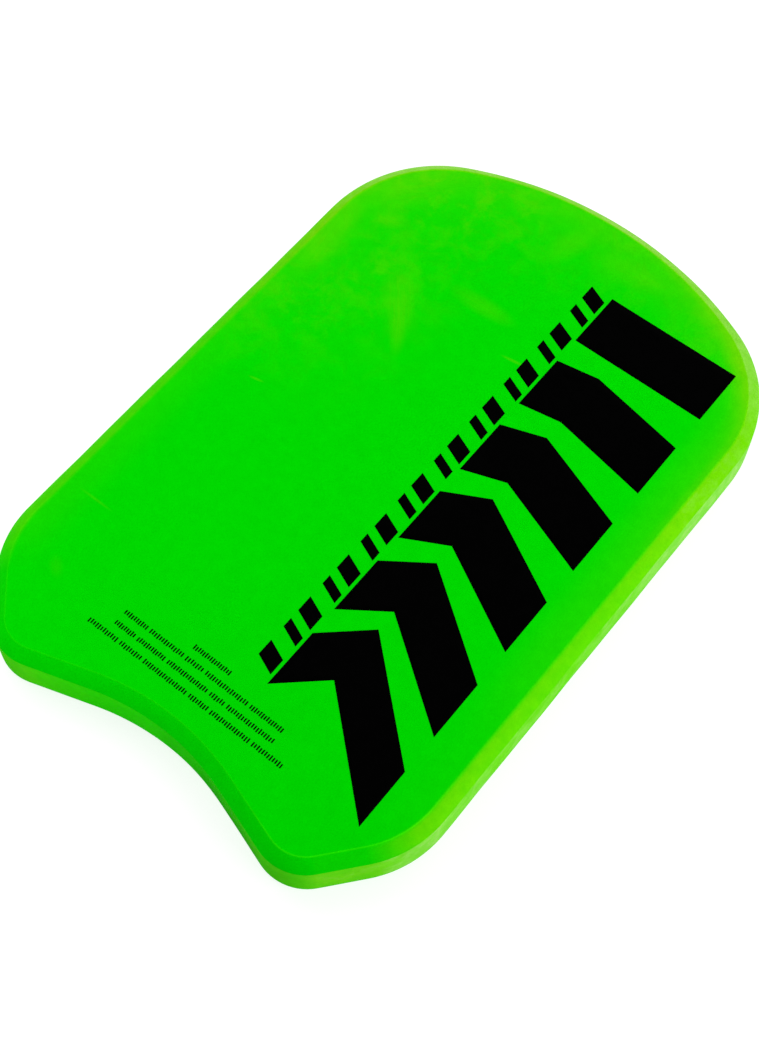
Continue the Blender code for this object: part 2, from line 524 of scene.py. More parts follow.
# Rings of a flat face, as shares of its width from the middle outwards
FACE_SHARES = np.array([0.06, 0.16, 0.28, 0.40, 0.52, 0.62, 0.71, 0.79, 0.86, 0.91, 0.95, 0.98])

# Face sheet: the small corner at its joint face, as (inset, rise), places of the rings up the
# bevel, as shares of its width, and places of the rings past the crease, in metres
FOOT_CORNER = np.array([[0.0008, 0.0], [0.00008, 0.0], [0.0, 0.00004]])
BEVEL_STEPS = np.array([0.12, 0.24, 0.36, 0.48, 0.60, 0.71, 0.81, 0.89, 0.95])
SHOULDER_STEPS = np.array([0.0003, 0.0008, 0.0014, 0.0022, 0.0034, 0.0052, 0.0078, 0.0106])

# How far the widest flat ring lies inside the outline
JOINT_FACE_INSET = 0.012
DECK_FACE_INSET = 0.021
CORE_FACE_INSET = 0.004

# The core's corners, and how far its wall bows out
CORE_CORNER = 0.0002
WALL_BOW = 0.0001

# The bevel's painted light and sheen end between these distances from the outline, a little further
# in on the side that faces -X
BEVEL_TINT_ENDS = (0.0052, 0.0083)
FURTHER_IN = 0.0009
# Half width of the painted highlight along the crease
CREASE_HIGHLIGHT_WIDTH = 0.00034


def face_rings(points, normals, inset, share):
    """Rings of a flat face: the outline drawn in by inset, then shrunk to the middle by share."""
    inner = points - inset * normals
    return inner[None, :, :] * share[:, None, None]


def layer_grid(points, normals, inset, heights, low_inset, high_inset):
    """x, y and z of a layer of foam: a profile carried round the outline, and its two flat faces.

    A point of the profile is the outline less inset times its normal, at its height. inset and
    heights are rings by columns. The flat faces keep the heights of the first and last rings.
    """
    low = face_rings(points, normals, low_inset, FACE_SHARES)
    edge = points[None, :, :] - inset[:, :, None] * normals[None, :, :]
    high = face_rings(points, normals, high_inset, FACE_SHARES[::-1])
    flat = np.concatenate([low, edge, high])
    z = np.concatenate(
        [
            np.repeat(heights[:1], len(low), axis=0),
            heights,
            np.repeat(heights[-1:], len(high), axis=0),
        ]
    )
    return flat[:, :, 0], flat[:, :, 1], z


def face_sheet(name, sizes, joint_height, face_height, upward):
    """A bevelled face sheet, as a profile carried round the outline.

    Seen in section, from the middle of its joint face: flat, a small corner, the square rim, a
    rounded corner, the bevel with a slight bulge, a rounded crease, and flat again to the middle of
    its face. The crease is tight at the tail and softer along the sides.
    """
    points, normals = board_outline(sizes.point_spacing)
    ones = np.ones(len(points))
    rise = face_height - joint_height
    slope = np.array([BEVEL_WIDTH, rise - RIM_HEIGHT])
    slope = slope / np.hypot(*slope)

    side = smooth_step(-0.75, -0.05, normals[:, 1])
    softer = sizes.crease_round_side - sizes.crease_round_tail
    crease_round = sizes.crease_round_tail + softer * side
    rim_corner = rounded_corner((0.0, RIM_HEIGHT), (0.0, 1.0), slope, ones * sizes.rim_round, 5)
    crease = rounded_corner((BEVEL_WIDTH, rise), slope, (1.0, 0.0), crease_round, 7)

    t = BEVEL_STEPS[:, None]
    start_u, start_v = rim_corner[0][:, -1], rim_corner[1][:, -1]
    end_u, end_v = crease[0][:, 0], crease[1][:, 0]
    bulge = sizes.bevel_bulge * 4.0 * t * (1.0 - t)
    bevel_u = start_u + t * (end_u - start_u) - bulge * slope[1]
    bevel_v = start_v + t * (end_v - start_v) + bulge * slope[0]

    foot_u, foot_v = FOOT_CORNER[:, :1] * ones, FOOT_CORNER[:, 1:] * ones
    beyond = np.concatenate([crease[0].T[-1:] + SHOULDER_STEPS[:, None], [DECK_FACE_INSET * ones]])
    inset = np.concatenate([foot_u, rim_corner[0].T, bevel_u, crease[0].T, beyond])
    lift = np.concatenate(
        [foot_v, rim_corner[1].T, bevel_v, crease[1].T, np.full_like(beyond, rise)]
    )
    rippled = inset - edge_ripple(points, sizes.ripple) * (1.0 - np.clip(lift / rise, 0.0, 1.0))
    heights = joint_height + (lift if upward else -lift)
    x, y, z = layer_grid(points, normals, rippled, heights, JOINT_FACE_INSET, DECK_FACE_INSET)
    if upward:
        weight = np.clip((z - joint_height) / rise, 0.0, 1.0)
        z = z + weight**3 * deck_swell(x, y, sizes.swell)

    on_joint = np.full((len(FACE_SHARES), len(points)), 0.2)
    on_face = DECK_FACE_INSET + (1.0 - FACE_SHARES[::-1, None]) * 0.12 * ones
    across = np.concatenate([on_joint, inset, on_face])
    # Painted light and sheen on the bevel and the deck's edge
    further_in = FURTHER_IN * smooth_step(0.2, 0.6, -normals[None, :, 0])
    bevel = 1.0 - smooth_step(*BEVEL_TINT_ENDS, across - further_in)
    painted_light_tint = np.clip(bevel + deck_shoulder(points, across), 0.0, 1.0)
    painted_light_tint = painted_light_tint * bevel_painted_light(points, normals)
    # Painted highlight along the crease
    crease_highlight = np.exp(-(((across - BEVEL_WIDTH) / CREASE_HIGHLIGHT_WIDTH) ** 2)) * crease_painted_highlight(points)
    if not upward:
        x, y, z = x[::-1], y[::-1], z[::-1]
        painted_light_tint, crease_highlight = painted_light_tint[::-1], crease_highlight[::-1]
    return lathe_mesh(name, x, y, z, {"painted_light_tint": painted_light_tint, "crease_highlight": crease_highlight})


def core_mesh(name, sizes, low, high):
    """The core slab, as a profile carried round the outline: flat, a small corner, a straight wall
    that bows out by a hair, a small corner and flat again."""
    points, normals = board_outline(sizes.point_spacing)
    ones = np.ones(len(points))
    height = high - low
    low_corner = rounded_corner((0.0, 0.0), (-1.0, 0.0), (0.0, 1.0), ones * CORE_CORNER, 3)
    high_corner = rounded_corner((0.0, height), (0.0, 1.0), (1.0, 0.0), ones * CORE_CORNER, 3)
    t = np.linspace(0.0, 1.0, 12)[1:-1, None]
    start, end = low_corner[1][:, -1], high_corner[1][:, 0]
    wall_u = -WALL_BOW * 4.0 * t * (1.0 - t) * ones
    wall_v = start + t * (end - start)
    inset = np.concatenate([low_corner[0].T, wall_u, high_corner[0].T])
    lift = np.concatenate([low_corner[1].T, wall_v, high_corner[1].T])
    rippled = inset - edge_ripple(points, sizes.ripple)
    x, y, z = layer_grid(points, normals, rippled, low + lift, CORE_FACE_INSET, CORE_FACE_INSET)
    # Painted light and sheen on the wall
    painted_light_tint = np.repeat(core_painted_light(points, normals)[None, :], len(z), axis=0)
    # Painted light and shade on the wall, with a painted shadow at its foot
    tone = core_painted_shading(points, normals, (z - low) / height)
    return lathe_mesh(name, x, y, z, {"painted_light_tint": painted_light_tint, "tone": tone})


def film_mesh(name, x, y, sizes):
    """A thin closed film of ink on the deck.

    x and y are a grid of the mark's points. The top follows the deck a little above it, the
    underside lies a little in the foam, and a wall joins them round the grid's border.
    """
    rows, columns = x.shape
    deck = DECK_HIGH.z + deck_swell(x, y, sizes.swell)
    top = np.stack([x, y, deck + sizes.film_rise], axis=-1).reshape(-1, 3)
    under = np.stack([x, y, deck - sizes.film_sink], axis=-1).reshape(-1, 3)
    index = np.arange(rows * columns).reshape(rows, columns)
    a, b, c, d = index[:-1, :-1], index[:-1, 1:], index[1:, 1:], index[1:, :-1]
    upper = np.stack([a, d, c, b], axis=-1).reshape(-1, 4)
    lower = np.stack([a, b, c, d], axis=-1).reshape(-1, 4) + rows * columns
    border = np.concatenate([index[0, :-1], index[:-1, -1], index[-1, :0:-1], index[:0:-1, 0]])
    after = np.roll(border, -1)
    wall = np.stack([border, after, after + rows * columns, border + rows * columns], axis=-1)
    return mesh_from(name, np.concatenate([top, under]), np.concatenate([upper, lower, wall]))


def spread(low, high, spacing):
    """Evenly spaced numbers from low to high, no further apart than spacing."""
    return np.linspace(low, high, max(2, math.ceil(abs(high - low) / spacing) + 1))


def stroke_film(name, x, top, stroke, sizes, spacing):
    """A stroke of ink whose nose-side edge is y = top at each x, and which is stroke long."""
    down = spread(0.0, stroke, spacing)
    y = top[None, :] - down[:, None]
    return film_mesh(name, np.repeat(x[None, :], len(down), axis=0), y, sizes)


def bar_film(name, low, high, sizes, spacing=0.005):
    """A rectangle of ink."""
    x = spread(low.x, high.x, spacing)
    return stroke_film(name, x, np.full_like(x, high.y), high.y - low.y, sizes, spacing)


def chevron_film(name, low, high, sizes, slope, spacing=0.005):
    """A chevron of ink, whose nose-side edge is y = high end - slope |x - kink|."""
    kink = low.x + CHEVRON_PEAK
    x = np.concatenate([spread(low.x, kink, spacing), spread(kink, high.x, spacing)[1:]])
    stroke = (high.y - low.y) - slope * (high.x - kink)
    return stroke_film(name, x, high.y - slope * np.abs(x - kink), stroke, sizes, spacing)


def tick_film(name, low, high, sizes, spacing=0.003):
    """A leaning tick of ink: its right edge lies TICK_LEAN nearer the tail than its left edge."""
    x = spread(low.x, high.x, spacing)
    top = high.y - TICK_LEAN * (x - low.x) / (high.x - low.x)
    return stroke_film(name, x, top, (high.y - low.y) - TICK_LEAN, sizes, spacing)


# A dash's height and the most that an end is trimmed, as shares, and the corners of its six faces
DASH_HEIGHT = 0.84
DASH_TRIM = 0.16
DASH_BOX = np.array(
    [[0, 1, 2, 3], [7, 6, 5, 4], [0, 4, 5, 1], [1, 5, 6, 2], [2, 6, 7, 3], [3, 7, 4, 0]]
)


def dashes_mesh(name, low, high, sizes):
    """Small print as a run of upright dashes, each a closed box of ink.

    The dashes stand at an even pitch that fills the run from end to end. Their ends step up and
    down by a sine and a cosine of their number, so that the run reads as fine print, not as a bar.
    """
    run = high.x - low.x
    count = max(2, round((run - sizes.dash_width) / sizes.dash_pitch) + 1)
    number = np.arange(count)
    left = low.x + (run - sizes.dash_width) * number / (count - 1)
    tall = (high.y - low.y) * DASH_HEIGHT
    middle = (high.y + low.y) / 2
    trim_top = 0.5 * (1.0 + np.sin(number * 2.4 + low.x * 900.0)) * DASH_TRIM * tall
    trim_low = 0.5 * (1.0 + np.cos(number * 1.7 + low.x * 700.0)) * DASH_TRIM * tall
    x = np.stack([left, left + sizes.dash_width], axis=1)
    y = np.stack([middle - tall / 2 + trim_low, middle + tall / 2 - trim_top], axis=1)
    corner_x = x[:, [0, 1, 1, 0]]
    corner_y = y[:, [0, 0, 1, 1]]
    deck = DECK_HIGH.z + deck_swell(corner_x, corner_y, sizes.swell)
    top = np.stack([corner_x, corner_y, deck + sizes.film_rise], axis=-1)
    under = np.stack([corner_x, corner_y, deck - sizes.film_sink], axis=-1)
    points = np.concatenate([top, under], axis=1).reshape(-1, 3)
    quads = (DASH_BOX[None, :, :] + 8 * number[:, None, None]).reshape(-1, 4)
    return mesh_from(name, points, quads)


# Materials


def new_group(name, inputs, outputs):
    """An empty shader node group. inputs are (name, socket type, default), outputs (name, type)."""
    group = bpy.data.node_groups.new(name, "ShaderNodeTree")
    for socket, kind, default in inputs:
        made = group.interface.new_socket(socket, in_out="INPUT", socket_type=kind)
        if default is not None:
            made.default_value = default
    for socket, kind in outputs:
        group.interface.new_socket(socket, in_out="OUTPUT", socket_type=kind)
    return group, group.nodes.new("NodeGroupInput"), group.nodes.new("NodeGroupOutput")


def feed(tree, node, inputs):
    """Gives a node its inputs and hands it back.

    inputs is a dict of an input's name or place to a socket, a number or a colour. None leaves the
    input as it is.
    """
    for name, value in inputs.items():
        if isinstance(value, bpy.types.NodeSocket):
            tree.links.new(value, node.inputs[name])
        elif value is not None:
            node.inputs[name].default_value = value
    return node


def math_node(tree, operation, first, second=None, third=None, clamp=False):
    """A Math node; first, second and third are sockets or numbers. Gives its output."""
    node = feed(tree, tree.nodes.new("ShaderNodeMath"), {0: first, 1: second, 2: third})
    node.operation = operation
    node.use_clamp = clamp
    return node.outputs[0]


def added(tree, first, second):
    """The sum of two values."""
    return math_node(tree, "ADD", first, second)


def times(tree, first, second):
    """The product of two values."""
    return math_node(tree, "MULTIPLY", first, second)


def range_node(tree, value, low, high, to_low=0.0, to_high=1.0, smooth=True):
    """A Map Range node from low..high to to_low..to_high. Gives its output."""
    node = tree.nodes.new("ShaderNodeMapRange")
    node.interpolation_type = "SMOOTHSTEP" if smooth else "LINEAR"
    ends = {"From Min": low, "From Max": high, "To Min": to_low, "To Max": to_high}
    return feed(tree, node, {"Value": value, **ends}).outputs["Result"]


def noise_node(tree, vector, scale, detail, roughness, distortion=0.0):
    """A Noise Texture. Gives its factor."""
    look = {"Scale": scale, "Detail": detail, "Roughness": roughness, "Distortion": distortion}
    node = tree.nodes.new("ShaderNodeTexNoise")
    return feed(tree, node, {"Vector": vector, **look}).outputs["Fac"]


def foam_grain_group():
    """Closed-cell foam: small cells over a finer unevenness, as a height, and a patchy tone."""
    group, given, result = new_group(
        "Foam grain",
        [("Vector", "NodeSocketVector", None), ("Cells per metre", "NodeSocketFloat", 900.0)],
        [("Height", "NodeSocketFloat"), ("Tone", "NodeSocketFloat")],
    )
    cells = group.nodes.new("ShaderNodeTexVoronoi")
    cells.feature = "SMOOTH_F1"
    vector, scale = given.outputs["Vector"], given.outputs["Cells per metre"]
    feed(group, cells, {"Smoothness": 0.6, "Vector": vector, "Scale": scale})
    fine = noise_node(group, vector, 2600.0, 3.0, 0.6)
    height = math_node(group, "MULTIPLY_ADD", cells.outputs["Distance"], 0.6, fine)
    patches = noise_node(group, vector, 160.0, 4.0, 0.65)
    feed(group, result, {"Height": height, "Tone": patches})
    return group


def clouding_group():
    """Cloudy patches where the foam's skin has dulled: small patches gathered into broad ones."""
    group, given, result = new_group(
        "Clouded skin", [("Vector", "NodeSocketVector", None)], [("Mask", "NodeSocketFloat")]
    )
    broad = noise_node(group, given.outputs["Vector"], 16.0, 3.0, 0.55, 0.3)
    patches = noise_node(group, given.outputs["Vector"], 75.0, 4.0, 0.62, 0.4)
    gathered = range_node(group, broad, 0.36, 0.64, 0.35, 1.0)
    spots = range_node(group, patches, 0.40, 0.70)
    feed(group, result, {"Mask": times(group, spots, gathered)})
    return group


def stretched_vector(tree, vector, scale):
    """Coordinates scaled along each axis."""
    node = tree.nodes.new("ShaderNodeMapping")
    return feed(tree, node, {"Vector": vector, "Scale": scale}).outputs["Vector"]


def scuff_group():
    """One soft-edged oval scuff with streaks along it. The mask runs from 0 to 1."""
    group, given, result = new_group(
        "Scuff",
        [
            ("Vector", "NodeSocketVector", None),
            ("Centre", "NodeSocketVector", (0.0, 0.0, 0.0)),
            ("Turn", "NodeSocketVector", (0.0, 0.0, 0.0)),
            ("Half size", "NodeSocketVector", (0.02, 0.005, 1.0)),
            ("Streaks", "NodeSocketFloat", 0.4),
        ],
        [("Mask", "NodeSocketFloat")],
    )
    mapping = group.nodes.new("ShaderNodeMapping")
    mapping.vector_type = "TEXTURE"
    vector, centre, turn, half_size, depth = given.outputs[:5]
    feed(group, mapping, {0: vector, "Location": centre, "Rotation": turn, "Scale": half_size})
    placed = mapping.outputs["Vector"]
    length = feed(group, group.nodes.new("ShaderNodeVectorMath"), {0: placed})
    length.operation = "LENGTH"
    oval = range_node(group, length.outputs["Value"], 1.0, 0.15)
    stretched = stretched_vector(group, placed, (0.6, 5.0, 1.0))
    contrast = range_node(group, noise_node(group, stretched, 1.6, 4.0, 0.65), 0.35, 0.70)
    less = math_node(group, "SUBTRACT", 1.0, depth)
    share = math_node(group, "MULTIPLY_ADD", contrast, depth, less)
    feed(group, result, {"Mask": times(group, oval, share)})
    return group


def shared_group(name):
    """The shared node group of that name, made the first time it is asked for."""
    makers = {
        "Foam grain": foam_grain_group,
        "Clouded skin": clouding_group,
        "Scuff": scuff_group,
    }
    return bpy.data.node_groups.get(name) or makers[name]()


def placed_group(tree, name, vector):
    """A shared group placed in a material, fed with the material's coordinates."""
    node = tree.nodes.new("ShaderNodeGroup")
    node.node_tree = shared_group(name)
    return feed(tree, node, {"Vector": vector})


def new_material(name):
    """A material with a Principled shader, and its node tree, shader and Object coordinates."""
    material = bpy.data.materials.new(name)
    material.use_nodes = True
    tree = material.node_tree
    shader = tree.nodes["Principled BSDF"]
    coordinates = tree.nodes.new("ShaderNodeTexCoord").outputs["Object"]
    return material, tree, shader, coordinates


def mark_value(tree, name):
    """The value that the mesh's points keep under that name."""
    node = tree.nodes.new("ShaderNodeAttribute")
    node.attribute_name = name
    return node.outputs["Fac"]


def grain_finish(tree, shader, grain, roughness, bump):
    """Feeds the foam's grain to the shader.

    roughness is (factor, offset) on the grain's tone, and bump is (strength, distance) of a Bump
    node on its height.
    """
    rough = math_node(tree, "MULTIPLY_ADD", grain.outputs["Tone"], *roughness)
    strength, distance = bump
    node = tree.nodes.new("ShaderNodeBump")
    raised = {"Strength": strength, "Distance": distance, "Height": grain.outputs["Height"]}
    normal = feed(tree, node, raised).outputs["Normal"]
    feed(tree, shader, {"Roughness": rough, "Normal": normal})


def varied(tree, noise, low, high):
    """A value that runs from low to high as a noise runs through its usual values."""
    return range_node(tree, noise, 0.30, 0.70, low, high, smooth=False)


# Scuffs of the deck: middle (x, y), turn in degrees, half length, half width, streaks, and the
# yellow that each adds, as the share of red to green
SCUFF_DEPTH = 0.015
DECK_SCUFFS = (
    ((-0.067, 0.086), -50.0, 0.036, 0.0130, 0.60, 0.040),
    ((-0.055, 0.069), -56.0, 0.022, 0.0060, 0.55, 0.045),
    ((-0.127, 0.098), -82.0, 0.042, 0.0150, 0.35, 0.055),
    ((-0.027, 0.111), 2.0, 0.026, 0.0080, 0.45, 0.035),
    ((-0.105, 0.126), 20.0, 0.014, 0.0090, 0.30, 0.040),
    ((-0.014, 0.176), 75.0, 0.022, 0.0110, 0.35, 0.035),
    ((0.028, 0.182), 10.0, 0.030, 0.0120, 0.35, 0.030),
    ((-0.115, 0.150), 45.0, 0.045, 0.0220, 0.40, 0.040),
    ((0.008, 0.092), 8.0, 0.009, 0.0013, 0.20, 0.060),
    ((-0.095, -0.006), 12.0, 0.006, 0.0011, 0.20, 0.050),
    ((-0.112, -0.117), 0.0, 0.014, 0.0011, 0.20, 0.030),
    ((-0.101, -0.159), -40.0, 0.009, 0.0050, 0.50, 0.012),
)


def colour_ramp(tree, value, stops):
    """A Color Ramp through (position, colour) stops, between 0 and 1. Gives its colour."""
    node = tree.nodes.new("ShaderNodeValToRGB")
    elements = node.color_ramp.elements
    elements[0].position, elements[1].position = stops[0][0], stops[-1][0]
    for position, _ in stops[1:-1]:
        elements.new(position)
    for element, (_, colour) in zip(elements, stops):
        element.color = (*colour, 1.0)
    return feed(tree, node, {"Fac": value}).outputs["Color"]


def toned(tree, colour, tone):
    """A colour scaled by a tone."""
    node = tree.nodes.new("ShaderNodeVectorMath")
    node.operation = "SCALE"
    return feed(tree, node, {0: colour, "Scale": tone}).outputs["Vector"]


# The share of red to green at which a ramp reaches its palest colour, a painted sheen, and the
# place on the ramp of its lime, which is painted light and, on the deck, also the scuffs' tint
DECK_PALEST = 0.415
DECK_LIME_AT = 0.573
CORE_PALEST = 0.42
CORE_LIME_AT = 0.48

# How much lime the painted highlight along the crease adds at its fullest, and how much lighter it
# makes the foam
CREASE_HIGHLIGHT_YELLOW = 0.018
CREASE_HIGHLIGHT_LIGHTER = 0.22


def deck_material(colours):
    """Vivid green foam with painted light and sheen at its edges and a painted highlight along the
    tail's crease, clouded towards the nose and scuffed on one side.
    """
    material, tree, shader, coordinates = new_material("Deck foam")
    grain = placed_group(tree, "Foam grain", coordinates)
    clouds = placed_group(tree, "Clouded skin", coordinates).outputs["Mask"]

    split = feed(tree, tree.nodes.new("ShaderNodeSeparateXYZ"), {"Vector": coordinates})
    across, along = split.outputs["X"], split.outputs["Y"]
    nose_end = range_node(tree, along, 0.110, 0.200, 0.0, 0.45)
    side_part = times(
        tree, range_node(tree, along, -0.030, 0.120), range_node(tree, across, -0.020, -0.125)
    )
    place = math_node(tree, "ADD", nose_end, side_part, clamp=True)
    mottled = math_node(tree, "MULTIPLY_ADD", clouds, 0.070, 0.008)
    yellow = times(tree, place, mottled)

    for middle, turn, half_length, half_width, streaks, depth in DECK_SCUFFS:
        scuff = placed_group(tree, "Scuff", coordinates)
        placed = {"Centre": (*middle, DECK_HIGH.z), "Turn": (0.0, 0.0, math.radians(turn))}
        shape = {"Half size": (half_length, half_width, SCUFF_DEPTH), "Streaks": streaks}
        feed(tree, scuff, {**placed, **shape})
        yellow = added(tree, yellow, times(tree, scuff.outputs["Mask"], depth))

    # Painted light and sheen of the edges, and the tint of the painted highlight along the crease
    edge_patches = varied(tree, grain.outputs["Tone"], 0.86, 1.14)
    yellow = added(tree, yellow, times(tree, mark_value(tree, "painted_light_tint"), edge_patches))
    yellow = added(tree, yellow, times(tree, mark_value(tree, "crease_highlight"), CREASE_HIGHLIGHT_YELLOW))
    colour = colour_ramp(
        tree,
        math_node(tree, "DIVIDE", yellow, DECK_PALEST, clamp=True),
        ((0.0, colours.deck_green), (DECK_LIME_AT, colours.deck_scuff_and_lit_lime), (1.0, colours.deck_sheen_pale)),
    )
    tone = varied(tree, grain.outputs["Tone"], 0.965, 1.035)
    # The painted highlight along the crease also lightens the foam there
    tone = added(tree, tone, times(tree, mark_value(tree, "crease_highlight"), CREASE_HIGHLIGHT_LIGHTER))
    feed(tree, shader, {"Base Color": toned(tree, colour, tone)})
    feed(tree, shader, {"Specular IOR Level": 0.010, "Specular Tint": (0.05, 1.0, 0.05, 1.0)})
    grain_finish(tree, shader, grain, roughness=(0.20, 0.50), bump=(0.35, 0.0002))
    return material


def core_material(colours):
    """The core's cut edge: coarser cells and a yellower green, with painted light, sheen and shade
    on it.
    """
    material, tree, shader, coordinates = new_material("Core foam")
    grain = placed_group(tree, "Foam grain", coordinates)
    feed(tree, grain, {"Cells per metre": 700.0})
    clouds = placed_group(tree, "Clouded skin", coordinates).outputs["Mask"]
    patches = range_node(tree, clouds, 0.0, 1.0, 0.88, 1.40, smooth=False)
    streaked = stretched_vector(tree, coordinates, (1.0, 1.0, 5.0))
    layers = noise_node(tree, streaked, 60.0, 4.0, 0.6)
    layers = varied(tree, layers, 0.86, 1.14)
    # Painted light and sheen on the wall, broken up by patches and layers
    yellow = times(tree, mark_value(tree, "painted_light_tint"), times(tree, patches, layers))
    colour = colour_ramp(
        tree,
        math_node(tree, "DIVIDE", yellow, CORE_PALEST, clamp=True),
        ((0.0, colours.core_green), (CORE_LIME_AT, colours.core_lit_lime), (1.0, colours.core_sheen_pale)),
    )
    tone = varied(tree, grain.outputs["Tone"], 0.95, 1.05)
    # Painted light and shade on the wall
    tone = times(tree, tone, mark_value(tree, "tone"))
    feed(tree, shader, {"Base Color": toned(tree, colour, tone)})
    feed(tree, shader, {"Specular IOR Level": 0.002, "Specular Tint": (0.1, 1.0, 0.05, 1.0)})
    grain_finish(tree, shader, grain, roughness=(0.20, 0.55), bump=(0.45, 0.00025))
    return material


def ink_material(colours):
    """Matt black ink that lets a little of the foam's grain through."""
    material, tree, shader, coordinates = new_material("Black ink")
    grain = placed_group(tree, "Foam grain", coordinates)
    patchy = range_node(tree, grain.outputs["Tone"], 0.3, 0.75)
    lighter = [channel * 2.2 for channel in colours.ink_black]
    colour = colour_ramp(tree, patchy, ((0.0, colours.ink_black), (1.0, lighter)))
    feed(tree, shader, {"Base Color": colour, "Specular IOR Level": 0.004})
    grain_finish(tree, shader, grain, roughness=(0.25, 0.50), bump=(0.25, 0.00015))
    return material


def floor_material(colours):
    """Smooth white studio floor with the faintest unevenness of tone."""
    material, tree, shader, coordinates = new_material("Studio floor")
    uneven = noise_node(tree, coordinates, 3.0, 2.0, 0.5)
    darker = [channel * 0.99 for channel in colours.floor_white]
    colour = colour_ramp(tree, uneven, ((0.0, colours.floor_white), (1.0, darker)))
    feed(tree, shader, {"Base Color": colour, "Roughness": 0.9, "Specular IOR Level": 0.0})
    glow = bpy.context.scene.kickboard_stage.floor_glow
    feed(tree, shader, {"Emission Color": WHITE, "Emission Strength": glow})
    return material


def shared_material(name, maker):
    """The material of that name, made the first time it is asked for."""
    return bpy.data.materials.get(name) or maker(bpy.context.scene.kickboard_colours)


# Operators


def print_mark(mark, film, **shape):
    """Print one mark: a film made for the box of its CAD node, whose place it takes."""
    node, name = f"print_{mark}", f"ink_{mark}"
    low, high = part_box(node)
    mesh = film(name, low, high, bpy.context.scene.kickboard_sizes, **shape)
    place_piece(name, mesh, shared_material("Black ink", ink_material), [node])


class KICKBOARD_OT_deck_sheet(bpy.types.Operator):
    """Make the upper foam sheet, whose face is the deck and whose edge is the bevel"""

    bl_idname = "kickboard.deck_sheet"
    bl_label = "Deck sheet"

    def execute(self, context):
        sizes = context.scene.kickboard_sizes
        joint = (DECK_LOW.z + CORE_HIGH.z) / 2 + sizes.joint_gap / 2
        mesh = face_sheet("deck_foam", sizes, joint, DECK_HIGH.z, True)
        material = shared_material("Deck foam", deck_material)
        piece = place_piece("deck_foam", mesh, material, ["deck_sheet"])
        return {"FINISHED"}


class KICKBOARD_OT_core_slab(bpy.types.Operator):
    """Make the thick middle layer, whose edge is the side wall"""

    bl_idname = "kickboard.core_slab"
    bl_label = "Core slab"

    def execute(self, context):
        sizes = context.scene.kickboard_sizes
        low = (BOTTOM_HIGH.z + CORE_LOW.z) / 2 + sizes.joint_gap / 2
        high = (DECK_LOW.z + CORE_HIGH.z) / 2 - sizes.joint_gap / 2
        mesh = core_mesh("core_foam", sizes, low, high)
        material = shared_material("Core foam", core_material)
        piece = place_piece("core_foam", mesh, material, ["core_slab"])
        return {"FINISHED"}


class KICKBOARD_OT_bottom_sheet(bpy.types.Operator):
    """Make the lower foam sheet, bevelled like the deck"""

    bl_idname = "kickboard.bottom_sheet"
    bl_label = "Bottom sheet"

    def execute(self, context):
        sizes = context.scene.kickboard_sizes
        joint = (BOTTOM_HIGH.z + CORE_LOW.z) / 2 - sizes.joint_gap / 2
        mesh = face_sheet("bottom_foam", sizes, joint, 2 * joint - BOTTOM_LOW.z, False)
        material = shared_material("Deck foam", deck_material)
        piece = place_piece("bottom_foam", mesh, material, ["bottom_sheet"])
        return {"FINISHED"}


class KICKBOARD_OT_bold_print(bpy.types.Operator):
    """Print the bold bar and the chevrons below it"""

    bl_idname = "kickboard.bold_print"
    bl_label = "Bold print"

    def execute(self, context):
        print_mark("bar", bar_film)
        for number in range(1, CHEVRON_COUNT + 1):
            print_mark(f"chevron_{number}", chevron_film, slope=CHEVRON_SLOPE_STEP * number)
        return {"FINISHED"}


class KICKBOARD_OT_tick_row(bpy.types.Operator):
    """Print the row of leaning ticks beside the bold print"""

    bl_idname = "kickboard.tick_row"
    bl_label = "Row of ticks"

    def execute(self, context):
        for number in range(1, TICK_COUNT + 1):
            print_mark(f"tick_{number:02d}", tick_film)
        return {"FINISHED"}


class KICKBOARD_OT_small_print(bpy.types.Operator):
    """Print the four centred rows of small dashes near the tail"""

    bl_idname = "kickboard.small_print"
    bl_label = "Rows of small print"

    def execute(self, context):
        for row, bars in enumerate(NOTE_BARS, start=1):
            for number in range(1, bars + 1):
                print_mark(f"note_{row}_{number}", dashes_mesh)
        return {"FINISHED"}


def studio_sky(stage):
    """Even white light from all round, and a backdrop that the camera sees brighter."""
    world = bpy.data.worlds.new("Studio sky")
    world.use_nodes = True
    tree = world.node_tree
    lighting, backdrop = tree.nodes["Background"], tree.nodes.new("ShaderNodeBackground")
    feed(tree, lighting, {"Color": WHITE, "Strength": stage.sky_strength})
    feed(tree, backdrop, {"Color": WHITE, "Strength": stage.backdrop_strength})
    seen = tree.nodes.new("ShaderNodeLightPath").outputs["Is Camera Ray"]
    either = {0: seen, 1: lighting.outputs["Background"], 2: backdrop.outputs["Background"]}
    chosen = feed(tree, tree.nodes.new("ShaderNodeMixShader"), either)
    feed(tree, tree.nodes["World Output"], {"Surface": chosen.outputs["Shader"]})
    return world


def hung_softbox(stage, name, bearing, height, distance, side, light):
    """A square area light that faces the board. Its power is light x pi^2 x distance^2."""
    softbox = bpy.data.lights.new(name, "AREA")
    softbox.shape = "SQUARE"
    softbox.size = side
    softbox.energy = stage.softbox_strength * light * math.pi**2 * distance**2
    bearing, height = math.radians(bearing), math.radians(height)
    direction = Vector(
        (
            math.cos(bearing) * math.cos(height),
            math.sin(bearing) * math.cos(height),
            math.sin(height),
        )
    )
    hung = bpy.data.objects.new(name, softbox)
    hung.rotation_mode = "QUATERNION"
    hung.rotation_quaternion = direction.to_track_quat("Z", "Y")
    hung.location = direction * distance
    hung.visible_camera = False
    return hung


